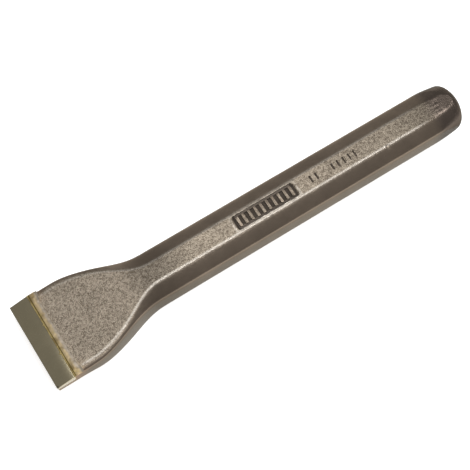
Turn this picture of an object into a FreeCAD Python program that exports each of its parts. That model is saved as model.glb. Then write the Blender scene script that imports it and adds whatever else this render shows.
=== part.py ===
import FreeCAD, Part
import math
import os

# Carbide-tipped hand chisel, lying flat: a forged octagonal bar, spread into a flat blade,
# with a tungsten-carbide bar brazed into a rebate along the cutting end.
# Millimetres. +X runs from the cutting edge to the struck head, +Y across the blade, +Z up.
# The origin is on the resting surface, under the middle of the tool.
# Places along the tool are measured from the cutting edge, and heights from the bar's centre line.

# Overall
length = 220.0
tip_width = 40.0

# Octagonal bar, with tall sides
bar_width = 22.3
bar_height = 22.3
bar_flat_width = 8.8        # top and bottom flats
bar_side_height = 13.7      # upright flats at the two sides

# Blade, set a little above the bar's centre line
blade_width = 40.0
blade_top = 7.0
blade_bottom = -4.0
blade_edge_height = 1.4     # of the sloping edges
blade_edge_width = 2.6      # and their plan width

# Where the blade turns into the bar
spread_start, spread_end = 19.0, 56.0
crown_start, crown_end = 10.0, 46.0
edge_start, edge_end = 34.5, 59.0
straight_start = 60.0
section_pitch = 2.0

# Carbide bar and its rebate
tip_length = 8.7
tip_rear_top = 6.6
tip_front_top = 4.1
seat_height = 1.1
end_relief = 6.0            # degrees that the end face leans back from the cutting edge

# Braze: a film under and behind the carbide, and a wedge spilled over the shoulder
braze_gap = 0.15
braze_lap = 3.2
braze_depth = 0.6

# Head, turned down from the bar and crowned for the hammer
head_start = 201.0
head_rim_x, head_rim_radius = 214.2, 11.25
head_shoulder_x, head_shoulder_radius = 215.8, 10.8
crown_rim_radius = 10.0
crown_radius = 16.0

# Marking panel sunk in the top flat, with a row of plain raised bars
panel_x = 114.2
panel_length = 33.0
panel_width = 7.2
panel_corner = 1.4
panel_depth = 0.45
panel_bars = 10
panel_bar_width = 1.5
panel_bar_length = 5.0
panel_bar_corner = 0.5

# Plain struck ticks beside the panel: where each group starts, and how many it has
tick_groups = ((138.0, 2), (149.5, 5))
tick_pitch = 2.95
tick_length = 3.4
tick_width = 0.6
tick_depth = 0.35

margin = 5.0                # how far a cutting tool runs past the work


def place(x, y, z):
    """Point x from the cutting edge and z above the bar's centre line."""
    return FreeCAD.Vector(x - length / 2, y, z + bar_height / 2)


def ease(x, start, end):
    """Goes smoothly from 0 at start to 1 at end."""
    share = min(max((x - start) / (end - start), 0.0), 1.0)
    return share * share * (3.0 - 2.0 * share)


def mix(low, high, share):
    return low + (high - low) * share


def polygon(points):
    return Part.makePolygon(points + points[:1])


def section(x):
    """Eight-sided outline of the forging at x."""
    crown = ease(x, crown_start, crown_end)
    growth = ease(x, edge_start, edge_end)
    edge_width = mix(blade_edge_width, (bar_width - bar_flat_width) / 2, growth)
    edge_height = mix(blade_edge_height, (bar_height - bar_side_height) / 2, growth)
    half_width = mix(blade_width, bar_width, ease(x, spread_start, spread_end)) / 2
    top = mix(blade_top, bar_height / 2, crown)
    bottom = mix(blade_bottom, -bar_height / 2, crown)
    near_side = [
        (half_width - edge_width, top),
        (half_width, top - edge_height),
        (half_width, bottom + edge_height),
        (half_width - edge_width, bottom),
    ]
    far_side = [(-y, z) for y, z in reversed(near_side)]
    return polygon([place(x, y, z) for y, z in near_side + far_side])


def blade():
    """Flare and blade, through an outline every few millimetres, and the stub under the carbide."""
    count = round((straight_start - tip_length) / section_pitch)
    pitch = (straight_start - tip_length) / count
    outlines = [section(tip_length + i * pitch) for i in range(count + 1)]
    flare = Part.makeLoft(outlines, True, True)
    stub = Part.Face(section(tip_length)).extrude(FreeCAD.Vector(-tip_length, 0, 0))
    return flare.fuse(stub)


def turned_profile():
    """Solid of revolution about the bar's centre line that the head is turned to."""
    corner_radius = math.hypot(bar_width / 2, bar_side_height / 2)
    taper = (corner_radius - head_rim_radius) / (head_rim_x - head_start)
    back_radius = corner_radius + taper * (head_start - straight_start)
    crown_centre = length - crown_radius
    crown_rim_x = crown_centre + math.sqrt(crown_radius**2 - crown_rim_radius**2)
    crown_middle_x = crown_centre + math.sqrt(crown_radius**2 - (crown_rim_radius / 2)**2)
    back = place(straight_start, 0, 0)
    back_rim = place(straight_start, 0, back_radius)
    rim = place(head_rim_x, 0, head_rim_radius)
    shoulder = place(head_shoulder_x, 0, head_shoulder_radius)
    crown_rim = place(crown_rim_x, 0, crown_rim_radius)
    crown_middle = place(crown_middle_x, 0, crown_rim_radius / 2)
    apex = place(length, 0, 0)
    outline = [
        Part.LineSegment(back, back_rim),
        Part.LineSegment(back_rim, rim),
        Part.Arc(rim, shoulder, crown_rim),
        Part.Arc(crown_rim, crown_middle, apex),
        Part.LineSegment(apex, back),
    ]
    face = Part.Face(Part.Wire([piece.toShape() for piece in outline]))
    return face.revolve(back, FreeCAD.Vector(1, 0, 0), 360)


def bar():
    """Straight bar with its turned head."""
    prism = Part.Face(section(straight_start)).extrude(FreeCAD.Vector(length - straight_start, 0, 0))
    return prism.common(turned_profile())


def side_prism(outline, half_width):
    """Solid with the given (x, z) side outline, reaching half_width to each side."""
    face = Part.Face(polygon([place(x, -half_width, z) for x, z in outline]))
    return face.extrude(FreeCAD.Vector(0, 2 * half_width, 0))


def lean(z):
    """How far the end face is behind the cutting edge at height z."""
    return (tip_front_top - z) * math.tan(math.radians(end_relief))


def rebate():
    """What is milled off the forging for the carbide, with the relief of its end face."""
    low = -bar_height / 2
    high = blade_top + margin
    outline = [
        (tip_length + braze_lap, high),
        (tip_length + braze_lap, blade_top),
        (tip_length, blade_top - braze_depth),
        (tip_length, seat_height),
        (lean(seat_height), seat_height),
        (lean(low), low),
        (-margin, low),
        (-margin, high),
    ]
    return side_prism(outline, blade_width)


def plate(x, size_x, size_y, corner, depth):
    """Upright round-cornered plate, half sunk in the top flat at x, down to the given depth."""
    box = Part.makeBox(size_x, size_y, 2 * depth, place(x - size_x / 2, -size_y / 2, bar_height / 2 - depth))
    upright = [edge for edge in box.Edges if abs(edge.tangentAt(edge.FirstParameter).z) > 0.9]
    return box.makeFillet(corner, upright)


def panel():
    """The sunk ground of the marking panel, round its raised bars."""
    pitch = panel_length / (panel_bars + 1)
    first_x = panel_x - panel_length / 2 + pitch
    bars = [
        plate(first_x + i * pitch, panel_bar_width, panel_bar_length, panel_bar_corner, panel_depth)
        for i in range(panel_bars)
    ]
    return plate(panel_x, panel_length, panel_width, panel_corner, panel_depth).cut(bars)


def ticks():
    """Struck ticks, all across the bar."""
    return [
        plate(start + i * tick_pitch, tick_width, tick_length, 0.45 * tick_width, tick_depth)
        for start, count in tick_groups
        for i in range(count)
    ]


def carbide_tip():
    """Ground carbide bar, sloping down to the cutting edge."""
    floor = seat_height + braze_gap
    outline = [
        (0.0, tip_front_top),
        (tip_length - braze_gap, tip_rear_top),
        (tip_length - braze_gap, floor),
        (lean(floor), floor),
    ]
    return side_prism(outline, tip_width / 2)


def braze_layer():
    """Side outline of the braze: film on the seat and the shoulder, wedge over the shoulder."""
    floor = seat_height + braze_gap
    outline = [
        (lean(seat_height), seat_height),
        (tip_length, seat_height),
        (tip_length, blade_top - braze_depth),
        (tip_length + braze_lap, blade_top),
        (tip_length - braze_gap, tip_rear_top),
        (tip_length - braze_gap, floor),
        (lean(floor), floor),
    ]
    return side_prism(outline, blade_width)


blank = blade().fuse(bar())
body = blank.cut([rebate(), panel()] + ticks())
braze = blank.common(braze_layer())

nodes = {"forged_body": body, "carbide_tip": carbide_tip(), "braze_seam": braze}

os.makedirs("parts", exist_ok=True)
for name, shape in nodes.items():
    solid = shape.removeSplitter()
    box = solid.BoundBox
    print(
        f"{name}: {len(solid.Solids)} solid, valid {solid.isValid()}, {solid.Volume:.1f} mm3,"
        f" X {box.XMin:.2f}..{box.XMax:.2f} Y {box.YMin:.2f}..{box.YMax:.2f} Z {box.ZMin:.2f}..{box.ZMax:.2f}"
    )
    solid.exportStep(f"parts/{name}.step")
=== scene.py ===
import math

import bmesh
import bpy
from mathutils import Matrix, Vector


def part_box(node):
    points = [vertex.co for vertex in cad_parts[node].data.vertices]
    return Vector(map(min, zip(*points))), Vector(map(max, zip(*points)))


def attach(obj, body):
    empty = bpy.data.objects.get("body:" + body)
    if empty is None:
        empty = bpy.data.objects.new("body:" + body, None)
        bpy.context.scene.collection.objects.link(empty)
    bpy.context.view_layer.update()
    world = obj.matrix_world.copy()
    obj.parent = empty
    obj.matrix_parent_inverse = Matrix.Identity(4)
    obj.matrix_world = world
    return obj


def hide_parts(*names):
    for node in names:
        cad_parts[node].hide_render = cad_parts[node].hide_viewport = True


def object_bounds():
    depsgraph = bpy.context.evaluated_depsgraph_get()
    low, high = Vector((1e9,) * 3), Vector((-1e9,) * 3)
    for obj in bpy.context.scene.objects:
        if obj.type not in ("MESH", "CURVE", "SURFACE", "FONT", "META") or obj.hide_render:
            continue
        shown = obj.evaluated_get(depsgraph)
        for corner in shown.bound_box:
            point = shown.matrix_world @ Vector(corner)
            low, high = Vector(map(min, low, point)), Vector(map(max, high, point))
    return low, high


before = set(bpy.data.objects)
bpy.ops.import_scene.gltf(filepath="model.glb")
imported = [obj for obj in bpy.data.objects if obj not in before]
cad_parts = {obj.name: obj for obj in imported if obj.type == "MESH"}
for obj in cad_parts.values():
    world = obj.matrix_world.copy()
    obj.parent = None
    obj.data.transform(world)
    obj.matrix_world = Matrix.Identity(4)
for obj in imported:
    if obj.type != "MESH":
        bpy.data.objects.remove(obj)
cad_low, cad_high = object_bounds()
mm = 0.001

# ---------------------------------------------------------------------------------------------
# The stage: a white sweep of paper, one broad overhead softbox, with the camera
# standing over the cutting end on the near side and looking steeply down along the tool.

camera_place = Vector((-109.37, -110.90, 430.88)) * mm
camera_tilt = math.radians(19.29)      # away from straight down
camera_turn = math.radians(-41.75)     # about the vertical
camera_roll = math.radians(9.495)
camera_lens = 78.04

bpy.ops.object.camera_add(location=camera_place)
camera = bpy.context.object
turn = Matrix.Rotation(camera_turn, 4, "Z")
tilt = Matrix.Rotation(camera_tilt, 4, "X")
roll = Matrix.Rotation(camera_roll, 4, "Z")
camera.rotation_euler = (turn @ tilt @ roll).to_euler()
camera.data.lens = camera_lens
camera.data.sensor_width = 36.0
camera.data.clip_start = 0.01
camera.data.clip_end = 20.0
bpy.context.scene.camera = camera

floor_size = 4.0
bpy.ops.mesh.primitive_plane_add(size=floor_size, location=(0, 0, 0))
floor = bpy.context.object
floor.name = "floor"
paper = bpy.data.materials.new("paper_white")
paper.use_nodes = True
paper_shader = paper.node_tree.nodes["Principled BSDF"]
paper_shader.inputs["Base Color"].default_value = (0.90, 0.90, 0.89, 1.0)
paper_shader.inputs["Roughness"].default_value = 0.9
paper_shader.inputs["Emission Color"].default_value = (1.0, 1.0, 1.0, 1.0)
paper_shader.inputs["Emission Strength"].default_value = 0.60
floor.data.materials.append(paper)

key_place = Vector((0.15, -0.16, 1.15))
key_size, key_power = 0.6, 10.5
bpy.ops.object.light_add(type="AREA", location=key_place)
key = bpy.context.object
key.name = "key"
key.data.shape = "SQUARE"
key.data.size = key_size
key.data.energy = key_power
key.rotation_euler = (-key_place).to_track_quat("-Z", "Y").to_euler()
world = bpy.data.worlds.new("studio")
world.use_nodes = True
world.node_tree.nodes["Background"].inputs["Color"].default_value = (1.0, 0.99, 0.97, 1.0)
world.node_tree.nodes["Background"].inputs["Strength"].default_value = 0.40
bpy.context.scene.world = world
bpy.context.scene.view_settings.view_transform = "Standard"

# ---------------------------------------------------------------------------------------------
# The forged body: one bar of octagonal tool steel, drop-forged out to a flat blade, its head
# turned down and crowned on the lathe, a rebate milled across the blade for the carbide, and
# a marking panel and tally ticks pressed into the top flat.

tool_length = (cad_high.x - cad_low.x) / mm
centre_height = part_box("forged_body")[1].z / 2
half_bar = centre_height / mm
bar_flat = 4.4                        # half widths of the flats and half height of the sides
bar_side = 6.85

blade_half = 20.0
blade_top, blade_bottom = 7.0, -4.0
blade_edge, blade_drop = 2.6, 1.4      # plan width and height of the blade's sloping edges
spread = (19.0, 56.0)                 # where the blade's width runs into the bar's
crown = (10.0, 46.0)                  # where its thickness does
growth = (34.5, 59.0)                 # and where its sloping edges do
shoulder_x = 8.7
straight_x = 60.0
overrun = 12.0                        # spare length at both ends, trimmed off later
ring_pitch = 2.0


def at(x, y, z):
    """Point x mm from the cutting edge, y mm across and z mm above the bar's centre line."""
    return Vector((cad_low.x + x * mm, y * mm, centre_height + z * mm))


def ease(x, start, end):
    """Goes smoothly from 0 at start to 1 at end."""
    share = min(max((x - start) / (end - start), 0.0), 1.0)
    return share * share * (3.0 - 2.0 * share)


def corners(x):
    """The four (half width, height) corners of the section at x, from the top down."""
    width = blade_half + (half_bar - blade_half) * ease(x, *spread)
    grown = ease(x, *growth)
    edge = blade_edge + (half_bar - bar_flat - blade_edge) * grown
    drop = blade_drop + (half_bar - bar_side - blade_drop) * grown
    risen = ease(x, *crown)
    top = blade_top + (half_bar - blade_top) * risen
    bottom = blade_bottom + (-half_bar - blade_bottom) * risen
    return [(width - edge, top), (width, top - drop), (width, bottom + drop), (width - edge, bottom)]


def choose(kind, test):
    """Selects, in edit mode, only the vertices, edges or faces that pass the test."""
    bpy.ops.mesh.select_mode(type=kind)
    bpy.ops.mesh.select_all(action="DESELECT")
    mesh = bmesh.from_edit_mesh(bpy.context.object.data)
    for part in {"VERT": mesh.verts, "EDGE": mesh.edges, "FACE": mesh.faces}[kind]:
        part.select = test(part)
    mesh.select_flush_mode()
    bmesh.update_edit_mesh(bpy.context.object.data)


def start(name, primitive, **settings):
    """Adds a primitive as the only selected object and opens it for editing."""
    bpy.ops.object.select_all(action="DESELECT")
    primitive(**settings)
    piece = bpy.context.object
    piece.name = name
    bpy.ops.object.transform_apply(location=True, rotation=True, scale=True)
    bpy.ops.object.mode_set(mode="EDIT")
    return piece


def finish_modifier(piece, kind, **settings):
    """Adds a modifier and applies it."""
    modifier = piece.modifiers.new(kind.lower(), kind)
    for setting, value in settings.items():
        setattr(modifier, setting, value)
    bpy.context.view_layer.objects.active = piece
    bpy.ops.object.modifier_apply(modifier=modifier.name)


def work(piece, tool, operation):
    """Cuts, trims or joins the piece with a tool body, and throws the tool body away."""
    finish_modifier(piece, "BOOLEAN", object=tool, operation=operation, solver="EXACT")
    bpy.data.objects.remove(tool)


bar_length = tool_length + overrun - straight_x
body = start(
    "forging",
    bpy.ops.mesh.primitive_cube_add,
    size=1.0,
    location=at(straight_x + bar_length / 2, 0, 0),
    scale=(bar_length * mm, 2 * half_bar * mm, 2 * half_bar * mm),
)
for side in (-1, 1):
    for face in (-1, 1):
        slope = Vector((0, side * (half_bar - bar_side), face * (half_bar - bar_flat)))
        bpy.ops.mesh.select_all(action="SELECT")
        bpy.ops.mesh.bisect(
            plane_co=at(0, side * half_bar, face * bar_side),
            plane_no=slope.normalized(),
            use_fill=True,
            clear_outer=True,
        )

# The bar is drawn out to the blade ring by ring.
choose("EDGE", lambda edge: abs(edge.verts[0].co.x - edge.verts[1].co.x) > mm)
bpy.ops.mesh.subdivide(number_cuts=round(bar_length / ring_pitch) - 1)
ring_x = straight_x
blade_end = -overrun
while ring_x > blade_end:
    was = corners(ring_x)
    ring_place = at(ring_x, 0, 0).x
    choose(
        "FACE",
        lambda face: face.normal.x < -0.9 and abs(face.calc_center_median().x - ring_place) < mm / 2,
    )
    bpy.ops.mesh.extrude_region_move(TRANSFORM_OT_translate={"value": (-ring_pitch * mm, 0, 0)})
    ring_x -= ring_pitch
    ring_place = at(ring_x, 0, 0).x
    for (old_y, old_z), (new_y, new_z) in zip(was, corners(ring_x)):
        old_height = centre_height + old_z * mm
        choose(
            "VERT",
            lambda v: abs(v.co.x - ring_place) < mm / 2
            and abs(abs(v.co.y) - old_y * mm) < mm / 100
            and abs(v.co.z - old_height) < mm / 100,
        )
        bpy.ops.transform.resize(value=(1, new_y / old_y, 1), center_override=at(ring_x, 0, 0))
        bpy.ops.transform.translate(value=(0, 0, (new_z - old_z) * mm))

# The flats are divided finely enough for their grain, and every long ridge is eased.
flat_cuts = 5
ridge_ease = 0.5
side_ease = 0.28
smoothing = 2
blade_cuts = 2
root_x = 54.0
widest_grid = 0.7


def crosses_flat(edge):
    left, right = (v.co for v in edge.verts)
    return abs(left.x - right.x) < mm / 100 and abs(left.y + right.y) < mm / 100 < abs(left.y)


choose("EDGE", crosses_flat)
bpy.ops.mesh.subdivide(number_cuts=flat_cuts)
for offset, beside_flat in ((ridge_ease, True), (side_ease, False)):
    choose(
        "EDGE",
        lambda edge: abs(edge.verts[0].co.x - edge.verts[1].co.x) > mm
        and edge.calc_face_angle() > math.radians(30)
        and any(abs(face.normal.z) > 0.9 for face in edge.link_faces) == beside_flat,
    )
    bpy.ops.mesh.bevel(offset=offset * mm, segments=1, affect="EDGES")
bpy.ops.object.mode_set(mode="OBJECT")
finish_modifier(body, "SUBSURF", levels=smoothing, render_levels=smoothing)
bpy.ops.object.mode_set(mode="EDIT")
root = at(root_x, 0, 0).x


def wide_on_blade(edge):
    left, right = (v.co for v in edge.verts)
    level = all(abs(face.normal.z) > 0.9 for face in edge.link_faces)
    square_on = abs(left.x - right.x) < mm / 100
    return left.x < root and level and square_on and abs(left.y - right.y) > widest_grid * mm


choose("EDGE", wide_on_blade)
bpy.ops.mesh.subdivide(number_cuts=blade_cuts)

# The end is ground back under the cutting edge.
edge_height = 4.1
relief = math.radians(6)
bpy.ops.mesh.select_all(action="SELECT")
bpy.ops.mesh.bisect(
    plane_co=at(0, 0, edge_height),
    plane_no=(-math.cos(relief), 0, -math.sin(relief)),
    use_fill=True,
    clear_outer=True,
)
bpy.ops.object.mode_set(mode="OBJECT")

# The head is turned: a long cone, a small round and a crown, and the bar is kept inside them.
rim_x, rim_radius = 214.2, 11.25
cone_x, cone_radius = 201.0, 13.1
crown_radius = 16.0
crown_rim = 10.0
crown_steps = 14
turned_back = -2.0
back_radius = cone_radius + (cone_x - turned_back) * (cone_radius - rim_radius) / (rim_x - cone_x)
head = start(
    "turned_head",
    bpy.ops.mesh.primitive_cone_add,
    vertices=144,
    radius1=back_radius * mm,
    radius2=rim_radius * mm,
    depth=(rim_x - turned_back) * mm,
    location=at((rim_x + turned_back) / 2, 0, 0),
    rotation=(0, math.radians(90), 0),
)
crown_centre = tool_length - crown_radius
first_angle = math.asin(crown_rim / crown_radius)
rim_round = [(215.05, 11.02), (215.8, 10.62)]
profile = list(rim_round)
for step in range(crown_steps):
    angle = first_angle * (1 - step / crown_steps)
    profile.append((crown_centre + crown_radius * math.cos(angle), crown_radius * math.sin(angle)))
was_x, was_radius = rim_x, rim_radius
choose("FACE", lambda face: face.normal.x > 0.9)
for x, radius in profile:
    bpy.ops.mesh.extrude_region_move(TRANSFORM_OT_translate={"value": ((x - was_x) * mm, 0, 0)})
    shrink = radius / was_radius
    bpy.ops.transform.resize(value=(1, shrink, shrink), center_override=at(x, 0, 0))
    was_x, was_radius = x, radius
bpy.ops.object.mode_set(mode="OBJECT")
work(body, head, "INTERSECT")

# The rebate is milled across the blade, its shoulder eased where the braze will spill over.
seat_height = 1.1
lap = 3.2
lap_depth = 0.6
reach = 30.0
floor_to_lap = blade_top - lap_depth - seat_height
mill = start(
    "mill",
    bpy.ops.mesh.primitive_cube_add,
    size=1.0,
    location=at((shoulder_x - reach) / 2, 0, seat_height + floor_to_lap / 2),
    scale=((shoulder_x + reach) * mm, 2 * reach * mm, floor_to_lap * mm),
)
for rise, run in ((lap_depth, lap), (reach / 2, 0)):
    choose("FACE", lambda face: face.normal.z > 0.9)
    bpy.ops.mesh.extrude_region_move(TRANSFORM_OT_translate={"value": (0, 0, rise * mm)})
    top = max(v.co.z for v in bmesh.from_edit_mesh(mill.data).verts)
    choose("VERT", lambda v: v.co.z > top - mm / 100 and v.co.x > cad_low.x)
    bpy.ops.transform.translate(value=(run * mm, 0, 0))
bpy.ops.object.mode_set(mode="OBJECT")
work(body, mill, "DIFFERENCE")

# The panel is sunk with sloping walls, plain bars stand in it, and ticks are struck beside it.
draft = 0.92
panel_x, panel_size, panel_depth = 114.2, (33.0, 7.2), 0.45
bar_count, bar_size = 10, (1.6, 5.2)
tick_groups = ((138.0, 2), (149.5, 5))
tick_pitch, tick_size, tick_depth = 2.95, (0.7, 3.4), 0.35


def plate(x, size, corner, low_z, high_z, foot):
    """Round-cornered upright plate across the top flat, its foot drawn in by the draft."""
    piece = start(
        "plate",
        bpy.ops.mesh.primitive_cube_add,
        size=1.0,
        location=at(x, 0, (low_z + high_z) / 2),
        scale=(size[0] * mm, size[1] * mm, (high_z - low_z) * mm),
    )
    choose("EDGE", lambda edge: abs(edge.verts[0].co.z - edge.verts[1].co.z) > mm / 10)
    bpy.ops.mesh.bevel(offset=corner * mm, segments=4, affect="EDGES")
    choose("FACE", lambda face: face.normal.z * foot > 0.9)
    bpy.ops.transform.resize(value=(draft, draft, 1), center_override=at(x, 0, 0))
    bpy.ops.object.mode_set(mode="OBJECT")
    return piece


def joined(pieces):
    """Makes one piece of several."""
    bpy.ops.object.select_all(action="DESELECT")
    for piece in pieces:
        piece.select_set(True)
    bpy.context.view_layer.objects.active = pieces[0]
    bpy.ops.object.join()
    return bpy.context.object


panel = plate(panel_x, panel_size, 1.4, half_bar - panel_depth, half_bar + panel_depth, -1)
bar_pitch = panel_size[0] / (bar_count + 1)
bars = []
for i in range(bar_count):
    x = panel_x - panel_size[0] / 2 + (i + 1) * bar_pitch
    bars.append(plate(x, bar_size, 0.5, half_bar - 2 * panel_depth, half_bar - 0.05, 1))
work(panel, joined(bars), "DIFFERENCE")
punches = [panel]
for group_x, count in tick_groups:
    for i in range(count):
        x = group_x + i * tick_pitch
        punches.append(plate(x, tick_size, 0.3, half_bar - tick_depth, half_bar + tick_depth, -1))

# A knock on the near ridge, from the tool box.
nick_x, nick_radius, nick_depth = 176.0, 1.5, 0.42
nick_lift = (nick_radius - nick_depth) / math.sqrt(2)
nick = start(
    "nick",
    bpy.ops.mesh.primitive_uv_sphere_add,
    segments=24,
    ring_count=16,
    radius=nick_radius * mm,
    location=at(nick_x, -bar_flat - nick_lift, half_bar + nick_lift),
)
bpy.ops.object.mode_set(mode="OBJECT")
work(body, joined(punches + [nick]), "DIFFERENCE")


# What the surface is like, point by point: scaled flats, ridges polished by wear and given a painted
# highlight, sunk marks, turned head.
def mark_points(piece, name, value):
    """Stores value(place in mm from the edge and centre line, normal) on every point."""
    layer = piece.data.attributes.new(name, "FLOAT", "POINT")
    for point in piece.data.vertices:
        place = (point.co - at(0, 0, 0)) / mm
        layer.data[point.index].value = value(place, point.normal)


def forged(place):
    """1 on the forged skin, 0 on the ground end and the turned head."""
    return ease(place.x, shoulder_x + 0.5, shoulder_x + 3) * (1 - ease(place.x, 203, 212))


def grainy(place, normal):
    """1 on the scaled flats above and below, 0 on the sides."""
    upright = normal.z if place.z > 0 else -normal.z
    return (1 - ease(abs(normal.y), 0.22, 0.55)) * ease(upright, 0.6, 0.8) * forged(place)


def hammered(place, normal):
    """As forged, but 0 on the lips of the marks, where the skin turns in."""
    outward = normal.y * place.y + normal.z * place.z
    return forged(place) * ease(outward, 0.5, 2.0)


def rubbed_and_glint(place, normal):
    """1 on the ridges beside the flats and on the panel's rim, where hands and boxes polish it; it also
    carries a painted highlight, fuller on the near side where the light glints.
    """
    near = 9.0
    for y, z in corners(place.x)[::3]:
        near = min(near, math.hypot(abs(place.y) - y, place.z - z))
    past_end = abs(place.x - panel_x) - panel_size[0] / 2
    past_side = abs(place.y) - panel_size[1] / 2
    if place.z > 0:
        near = min(near, 0.2 + abs(max(past_end, past_side)))
    # Painted highlight: the near side is fuller, where the light glints along the ridge.
    near_side_glint = 1.0 if place.y < 0 else 0.4
    return (1 - ease(near, 0.15, 0.85)) * (1 - ease(place.x, 188, 203)) * near_side_glint


def sunk(place, normal):
    """1 in the bottom of the struck marks, where the colour is darkened."""
    flat_y, flat_z = corners(place.x)[0]
    inside = place.x > 90 and abs(place.y) < flat_y - 0.4 and place.z > 0
    return min(max((flat_z - place.z) / 0.3, 0), 1) if inside and place.x < 200 else 0.0


mark_points(body, "grainy", grainy)
mark_points(body, "rubbed_and_glint", rubbed_and_glint)
mark_points(body, "sunk", sunk)


def dimpled(place, normal):
    """Full on the scaled flats, a fifth of that on the sides."""
    return hammered(place, normal) * (0.2 + 0.8 * grainy(place, normal))


# The hammer leaves the bar a little uneven and the scaled flats pitted.
for name, size, depth, where in (
    ("uneven", 14.0, 0.08, hammered),
    ("dimpled", 2.6, 0.14, dimpled),
    ("pitted", 1.0, 0.22, grainy),
):
    group = body.vertex_groups.new(name=name)
    for point in body.data.vertices:
        group.add([point.index], where((point.co - at(0, 0, 0)) / mm, point.normal), "REPLACE")
    texture = bpy.data.textures.new(name, "CLOUDS")
    texture.noise_scale = size * mm
    texture.noise_depth = 1
    finish_modifier(
        body,
        "DISPLACE",
        texture=texture,
        texture_coords="LOCAL",
        vertex_group=name,
        strength=depth * mm,
        mid_level=1.0,
    )
body.vertex_groups.clear()
bpy.ops.object.select_all(action="DESELECT")
body.select_set(True)
bpy.ops.object.shade_smooth_by_angle(angle=math.radians(32))


class Wire:
    """A shader socket that takes part in ordinary arithmetic."""

    def __init__(self, tree, socket=None):
        self.tree = tree
        self.socket = socket

    def node(self, kind, sockets, output=0, **settings):
        """Adds a node, its settings first, then the values or wires of its sockets."""
        made = self.tree.nodes.new("ShaderNode" + kind)
        for setting, value in settings.items():
            setattr(made, setting, value)
        for key, value in sockets.items():
            if isinstance(value, Wire):
                self.tree.links.new(value.socket, made.inputs[key])
            else:
                made.inputs[key].default_value = value
        return Wire(self.tree, made.outputs[output])

    def math(self, operation, first, second):
        return self.node("Math", {0: first, 1: second}, operation=operation)

    def __add__(self, other):
        return self.math("ADD", self, other)

    def __radd__(self, other):
        return self.math("ADD", other, self)

    def __sub__(self, other):
        return self.math("SUBTRACT", self, other)

    def __rsub__(self, other):
        return self.math("SUBTRACT", other, self)

    def __mul__(self, other):
        return self.math("MULTIPLY", self, other)

    def __rmul__(self, other):
        return self.math("MULTIPLY", other, self)

    def step(self, start, end):
        """Goes smoothly from 0 at start to 1 at end."""
        ends = {"Value": self, "From Min": start, "From Max": end}
        return self.node("MapRange", ends, interpolation_type="SMOOTHSTEP")

    def noise(self, place, size, detail=2.0, roughness=0.5):
        """Cloudy pattern with features of the given size in mm."""
        sockets = {"Vector": place, "Scale": 1 / (size * mm), "Detail": detail, "Roughness": roughness}
        return self.node("TexNoise", sockets, "Fac")

    def blend(self, share, first, second):
        """Colour that goes from first to second as share goes from 0 to 1."""
        return self.node("Mix", {0: share, 6: first, 7: second}, 2, data_type="RGBA")

    def tone(self, color, level):
        """The colour, lightened or darkened by level."""
        scaled = {0: color if isinstance(color, Wire) else color[:3], "Scale": level}
        return self.node("VectorMath", scaled, operation="SCALE")


def paint(red, green, blue):
    return (red, green, blue, 1.0)


def new_finish(piece, name, edge_tint, metallic=1.0):
    """Gives the piece a new finish; returns a wire to start from and the shader's sockets."""
    finish = bpy.data.materials.new(name)
    finish.use_nodes = True
    shader = finish.node_tree.nodes["Principled BSDF"].inputs
    shader["Metallic"].default_value = metallic
    shader["Specular Tint"].default_value = edge_tint
    piece.data.materials.clear()
    piece.data.materials.append(finish)
    return Wire(finish.node_tree), shader


def feed(wire, socket):
    wire.tree.links.new(wire.socket, socket)


scaled_grey = paint(0.425, 0.366, 0.293)
scaled_dark = paint(0.175, 0.143, 0.110)
drawn_skin = paint(0.215, 0.172, 0.134)
rubbed_glint_steel = paint(0.80, 0.74, 0.66)
sunk_darkening = paint(0.055, 0.045, 0.037)
turned_steel = paint(0.140, 0.113, 0.095)
tempered = paint(0.34, 0.235, 0.16)
spilled = paint(0.47, 0.39, 0.25)

wire, shader = new_finish(body, "forged_steel", paint(0.42, 0.43, 0.42))
place = wire.node("TexCoord", {}, "Object")
along = (wire.node("SeparateXYZ", {0: place}, "X") - cad_low.x) * (1 / mm)
across = wire.math("ABSOLUTE", wire.node("SeparateXYZ", {0: place}, "Y"), 0.0) * (1 / mm)
grain_share = wire.node("Attribute", {}, "Fac", attribute_name="grainy")
rub_glint_share = wire.node("Attribute", {}, "Fac", attribute_name="rubbed_and_glint")
sunk_share = wire.node("Attribute", {}, "Fac", attribute_name="sunk")
speck = wire.noise(place, 0.42, 2.0, 0.65)
mottle = wire.noise(place, 1.2, 2.0, 0.55)
patch = wire.noise(place, 7.0, 2.0, 0.5)
cloud = wire.noise(place, 26.0, 1.0, 0.5)
grain = speck * 0.64 + mottle * 0.36
scaled = wire.blend(grain.step(0.39, 0.59), scaled_dark, scaled_grey)
# The scale is lighter before the panel, and darkened round the neck and toward the head as painted shade.
neck_shade = along.step(42, 54) * (1 - along.step(58, 78))
bar_share = along.step(62, 84) * (1 - along.step(130, 165))
head_shade = along.step(178, 206)
scaled = wire.tone(scaled, 1 + bar_share * 0.2)
scaled = wire.tone(scaled, (0.86 + patch * 0.34) * (1 - head_shade * 0.4) * (1 - neck_shade * 0.32))
skin = wire.tone(drawn_skin, (0.70 + patch * 0.3 + cloud * 0.22) * (1 - neck_shade * 0.25))
color = wire.blend(grain_share, skin, scaled)
# The ridges: polish from wear, with a painted highlight for the glint, brighter on the near side.
color = wire.blend(rub_glint_share * (speck.step(0.34, 0.6) * 0.65 + 0.35), color, rubbed_glint_steel)
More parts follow.
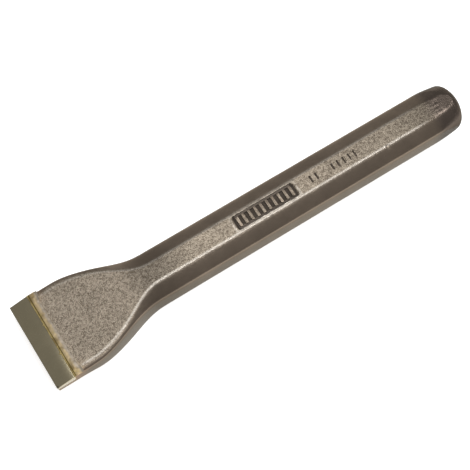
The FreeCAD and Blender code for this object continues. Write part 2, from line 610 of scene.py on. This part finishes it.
# The bottoms of the struck marks are darkened.
color = wire.blend(sunk_share * 0.95, color, sunk_darkening)
turned_share = (along + (mottle - 0.5) * 3).step(199.0, 206.5)
color = wire.blend(turned_share, color, wire.tone(turned_steel, 0.68 + patch * 0.4))
edge_share = across.step(13.0, 19.5)
tint_share = (1 - along.step(9.5, 17.0)) * (edge_share * 0.75 + 0.08) * (0.5 + patch)
color = wire.blend(tint_share, color, tempered)
spill_share = (1 - (along + mottle * 2.4 + patch * 1.2 - edge_share * 2.0).step(12.2, 14.4)) * grain_share
color = wire.blend(spill_share * 0.5, color, spilled)
feed(color, shader["Base Color"])
feed(0.26 + grain_share * (1 - turned_share) * 0.24 + mottle * 0.08 + sunk_share * 0.1, shader["Roughness"])
bump_height = grain * (0.12 + grain_share * 0.88) * (1 - turned_share)
turning = wire.node("TexNoise", {"W": along, "Scale": 7.0, "Detail": 1.0}, "Fac", noise_dimensions="1D")
bump_height = bump_height + turning * turned_share * 0.10
bump = {"Height": bump_height, "Distance": 0.50 * mm, "Strength": 1.0}
feed(wire.node("Bump", bump), shader["Normal"])
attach(body, "root")
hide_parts("forged_body")

# ---------------------------------------------------------------------------------------------
# The carbide tip: a sintered bar, ground on its faces, its top sloping down to the cutting edge
# and its front leaning back under it. Its ends are ground flush with the sides of the blade.

tip_low, tip_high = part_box("carbide_tip")
tip_length, tip_rear_top = 8.55, 6.6
braze_gap = 0.15
tip_floor = seat_height + braze_gap
tip_block = tip_rear_top - tip_floor
tip = start(
    "carbide",
    bpy.ops.mesh.primitive_cube_add,
    size=1.0,
    location=at(tip_length / 2, 0, tip_floor + tip_block / 2),
    scale=(tip_length * mm, tip_high.y - tip_low.y, tip_block * mm),
)
top_slope = Vector((edge_height - tip_rear_top, 0, tip_length)).normalized()
bpy.ops.mesh.bisect(plane_co=at(0, 0, edge_height), plane_no=top_slope, use_fill=True, clear_outer=True)
bpy.ops.mesh.select_all(action="SELECT")
bpy.ops.mesh.bisect(
    plane_co=at(0, 0, edge_height),
    plane_no=(-math.cos(relief), 0, -math.sin(relief)),
    use_fill=True,
    clear_outer=True,
)
chipped = 0.7
bpy.ops.mesh.select_all(action="SELECT")
bpy.ops.mesh.bisect(
    plane_co=at(chipped, -tip_high.y / mm, edge_height),
    plane_no=Vector((-1, -1, 0.6)).normalized(),
    use_fill=True,
    clear_outer=True,
)
choose("EDGE", lambda edge: edge.calc_face_angle() > math.radians(30))
bpy.ops.mesh.bevel(offset=0.09 * mm, segments=2, affect="EDGES")
bpy.ops.object.mode_set(mode="OBJECT")
bpy.ops.object.shade_smooth_by_angle(angle=math.radians(25))

carbide_grey = paint(0.355, 0.312, 0.212)
wire, shader = new_finish(tip, "ground_carbide", paint(0.9, 0.88, 0.84))
place = wire.node("TexCoord", {}, "Object")
streaked = wire.node("VectorMath", {0: place, 1: (0.14, 1.0, 1.0)}, operation="MULTIPLY")
streak = wire.noise(streaked, 0.35, 2.0, 0.6)
patch = wire.noise(place, 5.0, 2.0, 0.5)
speck = wire.noise(place, 0.5, 1.0, 0.5)
# Painted shade: the colour is darkened to a quarter in the chip at the near front corner.
corner = at(0.2, -tip_high.y / mm + 0.2, edge_height)
from_corner = wire.node("VectorMath", {0: place, 1: corner}, "Value", operation="DISTANCE") * (1 / mm)
color = wire.tone(carbide_grey, 0.86 + patch * 0.16 + streak * 0.08 + speck * 0.05)
feed(wire.tone(color, 0.25 + from_corner.step(0.4, 1.1) * 0.75), shader["Base Color"])
feed(0.17 + streak * 0.05 + patch * 0.04, shader["Roughness"])
feed(wire.node("Bump", {"Height": streak, "Distance": 0.01 * mm, "Strength": 0.6}), shader["Normal"])
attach(tip, "root")
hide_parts("carbide_tip")

# ---------------------------------------------------------------------------------------------
# The braze: silver-brass run in under and behind the carbide. It stands up as a thin bead along
# the carbide's back edge, leaves a groove, and spills out over the blade with a ragged end.

braze = start(
    "braze",
    bpy.ops.mesh.primitive_cube_add,
    size=1.0,
    location=at(shoulder_x / 2, 0, seat_height + braze_gap / 2),
    scale=(shoulder_x * mm, 2 * blade_half * mm, braze_gap * mm),
)
spill_cuts, rod_cuts = 90, 70
bpy.ops.mesh.bisect(plane_co=at(shoulder_x - braze_gap, 0, 0), plane_no=(1, 0, 0))
film_back = at(shoulder_x - braze_gap, 0, 0).x
lap_top = blade_top - lap_depth
for rise in (lap_top - tip_floor, 0.35):
    choose("FACE", lambda face: face.normal.z > 0.9 and face.calc_center_median().x > film_back)
    bpy.ops.mesh.extrude_region_move(TRANSFORM_OT_translate={"value": (0, 0, rise * mm)})
lap_height = at(0, 0, lap_top).z
spill_steps = ((1.4, 0.13), (0.9, -0.02), (0.9, -0.12), (0.9, -0.30))
for run, rise in spill_steps:
    choose("FACE", lambda face: face.normal.x > 0.5 and face.calc_center_median().z > lap_height)
    bpy.ops.mesh.extrude_region_move(TRANSFORM_OT_translate={"value": (run * mm, 0, rise * mm)})
choose("EDGE", lambda edge: abs(edge.verts[0].co.y - edge.verts[1].co.y) > mm)
bpy.ops.mesh.subdivide(number_cuts=spill_cuts)
choose(
    "EDGE",
    lambda edge: abs(edge.verts[0].co.x - edge.verts[1].co.x) > 0.8 * mm
    and min(v.co.z for v in edge.verts) > lap_height,
)
bpy.ops.mesh.subdivide(number_cuts=3)
bpy.ops.mesh.select_all(action="SELECT")
bpy.ops.mesh.bisect(
    plane_co=at(0, 0, edge_height),
    plane_no=(-math.cos(relief), 0, -math.sin(relief)),
    use_fill=True,
    clear_outer=True,
)
bpy.ops.object.mode_set(mode="OBJECT")


def ripple(piece, size, depth, middle, where=None):
    """Makes the run braze uneven."""
    texture = bpy.data.textures.new(piece.name, "CLOUDS")
    texture.noise_scale = size * mm
    settings = {"texture": texture, "texture_coords": "LOCAL", "strength": depth * mm, "mid_level": middle}
    if where:
        group = piece.vertex_groups.new(name="spill")
        for point in piece.data.vertices:
            group.add([point.index], where((point.co - at(0, 0, 0)) / mm), "REPLACE")
        settings["vertex_group"] = "spill"
    finish_modifier(piece, "DISPLACE", **settings)
    piece.vertex_groups.clear()


def spill(place):
    """1 on the top of the spill behind the groove."""
    return ease(place.x, 9.2, 10.2) * ease(place.z, lap_top + 0.1, lap_top + 0.3)


ripple(braze, 1.5, 0.20, 0.5, spill)
bead_radius, bead_x, bead_z = 0.27, 8.56, 6.60
groove_radius, groove_x, groove_z = 0.24, 9.05, 6.86


def rod(name, radius, x, z, length):
    """Uneven round rod across the tool."""
    piece = start(
        name,
        bpy.ops.mesh.primitive_cylinder_add,
        vertices=16,
        radius=radius * mm,
        depth=length * mm,
        location=at(x, 0, z),
        rotation=(math.radians(90), 0, 0),
    )
    choose("EDGE", lambda edge: abs(edge.verts[0].co.y - edge.verts[1].co.y) > mm)
    bpy.ops.mesh.subdivide(number_cuts=rod_cuts)
    bpy.ops.object.mode_set(mode="OBJECT")
    ripple(piece, 3.0, 0.16, 0.5)
    return piece


work(braze, rod("bead", bead_radius, bead_x, bead_z, 2 * blade_half - 0.2), "UNION")
work(braze, rod("groove", groove_radius, groove_x, groove_z, 2 * blade_half + 4), "DIFFERENCE")

# Two small drops stand on the bead.
for x, y, z, size, flat in (
    (8.2, -8.5, 6.45, 0.55, 0.5),
    (8.3, 5.5, 6.5, 0.45, 0.5),
):
    blob = start(
        "blob",
        bpy.ops.mesh.primitive_uv_sphere_add,
        segments=20,
        ring_count=12,
        radius=size * mm,
        location=at(x, y, z),
        scale=(1, 0.85, flat),
    )
    bpy.ops.object.mode_set(mode="OBJECT")
    work(braze, blob, "UNION")
bpy.ops.object.select_all(action="DESELECT")
braze.select_set(True)
bpy.context.view_layer.objects.active = braze
bpy.ops.object.shade_smooth_by_angle(angle=math.radians(50))

braze_gold = paint(0.36, 0.28, 0.125)
braze_cream = paint(0.32, 0.25, 0.15)
braze_dull = paint(0.17, 0.125, 0.06)
groove_shade = paint(0.13, 0.10, 0.03)
wire, shader = new_finish(braze, "silver_brass", paint(0.9, 0.85, 0.7))
place = wire.node("TexCoord", {}, "Object")
along = (wire.node("SeparateXYZ", {0: place}, "X") - cad_low.x) * (1 / mm)
across = wire.math("ABSOLUTE", wire.node("SeparateXYZ", {0: place}, "Y"), 0.0) * (1 / mm)
mottle = wire.noise(place, 1.1, 3.0, 0.6)
patch = wire.noise(place, 4.0, 2.0, 0.5)
color = wire.blend(along.step(8.9, 9.6), braze_gold, braze_cream)
color = wire.blend(mottle.step(0.5, 0.64), color, braze_gold)
color = wire.blend(patch.step(0.48, 0.66) * 0.8, color, braze_dull)
# Painted shade in the groove behind the bead.
groove_shade_share = along.step(8.82, 8.95) * (1 - along.step(9.2, 9.35))
color = wire.blend(groove_shade_share * 0.9, color, groove_shade)
ragged = (along + mottle * 2.4 + patch * 1.2 - across.step(15.0, 19.5) * 1.0).step(11.8, 13.2)
color = wire.blend(ragged, color, wire.tone(scaled_grey, 0.32 + mottle * 0.46))
feed(color, shader["Base Color"])
feed(0.42 + mottle * 0.14, shader["Roughness"])
feed(wire.node("Bump", {"Height": mottle, "Distance": 0.05 * mm, "Strength": 0.6}), shader["Normal"])
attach(braze, "root")
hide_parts("braze_seam")
